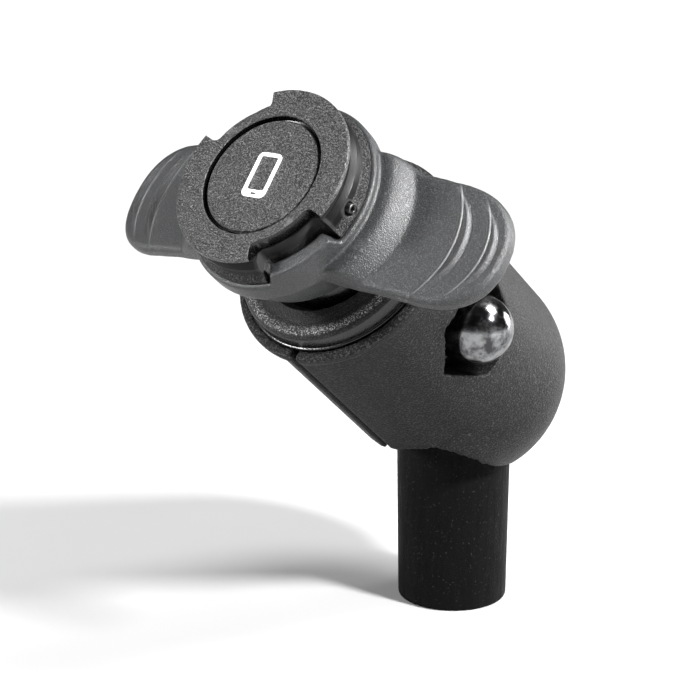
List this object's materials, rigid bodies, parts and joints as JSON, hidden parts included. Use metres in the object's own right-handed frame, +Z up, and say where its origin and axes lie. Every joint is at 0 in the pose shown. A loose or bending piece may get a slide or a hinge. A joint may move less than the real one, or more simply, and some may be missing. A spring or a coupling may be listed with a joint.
{
  "type": "phone mount",
  "caption": "Stem phone mount: tapered post, clamped two-part elbow with two ball joints, bayonet head with a sprung winged lever ring.",
  "frame": {"origin": "centre of the post's lower end face", "axes": "+Z up the post, the elbow leans towards -Y by 50 degrees, the lever wings and the clamp bolt lie along X with the dome nut on +X"},
  "size_m": [0.0884, 0.0928, 0.1107],
  "materials": {
    "post_rubber": "matte black, finely speckled",
    "shell_black": "dark charcoal, fine spark grain",
    "head_black": "dark grey, coarse leather grain",
    "collar_black": "black, coarse grain",
    "lever_grey": "bluish grey, fine grain",
    "chrome_plate": "polished",
    "zinc_steel": "zinc plated",
    "acetal": "natural, smooth"
  },
  "bodies": {
    "post": {"post": "post_rubber", "post_end_plug": "post_rubber"},
    "swivel_liner": {"lower_ball_liner": "acetal"},
    "elbow": {"housing_shell_right": "shell_black", "housing_shell_left": "shell_black", "ball_retaining_collar": "collar_black", "clamp_bolt": "zinc_steel", "bolt_washer": "zinc_steel", "nut_washer": "zinc_steel", "dome_nut": "chrome_plate", "locating_pin_upper": "zinc_steel", "locating_pin_lower": "zinc_steel"},
    "tilt_liner": {"upper_ball_liner": "acetal"},
    "ball": {"ball_stud": "head_black", "spring_seat": "zinc_steel"},
    "head": {"bayonet_base": "head_black", "bayonet_disc": "head_black", "centre_cap": "head_black", "centre_screw": "zinc_steel", "centre_screw_washer": "zinc_steel", "stop_pin": "zinc_steel", "disc_screw_1": "zinc_steel", "disc_screw_2": "zinc_steel", "disc_screw_3": "zinc_steel", "lever_return_spring": "zinc_steel"},
    "lever": {"lever_ring": "lever_grey"}
  },
  "joints": [
    {"name": "elbow_swivel", "type": "hinge", "parent": "post", "child": "swivel_liner", "pos_m": [0, 0, 0.0483], "axis": [0, 0, 1], "continuous": true},
    {"name": "elbow_tilt", "type": "hinge", "parent": "swivel_liner", "child": "elbow", "pos_m": [0, 0, 0.0483], "axis": [1, 0, 0], "range_deg": [0, 27]},
    {"name": "head_tilt_fore_aft", "type": "hinge", "parent": "elbow", "child": "tilt_liner", "pos_m": [0, -0.03409, 0.0761], "axis": [1, 0, 0], "range_deg": [-8, 8]},
    {"name": "head_tilt_sideways", "type": "hinge", "parent": "tilt_liner", "child": "ball", "pos_m": [0, -0.03409, 0.0761], "axis": [0, 0.6428, 0.766], "range_deg": [-8, 8]},
    {"name": "head_spin", "type": "hinge", "parent": "ball", "child": "head", "pos_m": [0, -0.03409, 0.0761], "axis": [0, -0.766, 0.6428], "continuous": true},
    {"name": "lever_press", "type": "slide", "parent": "head", "child": "lever", "axis": [0, 0.766, -0.6428], "range_m": [0, 0.002], "stiffness_N_per_m": 3000, "springref_m": -0.002, "deforming": ["lever_return_spring"]}
  ]
}
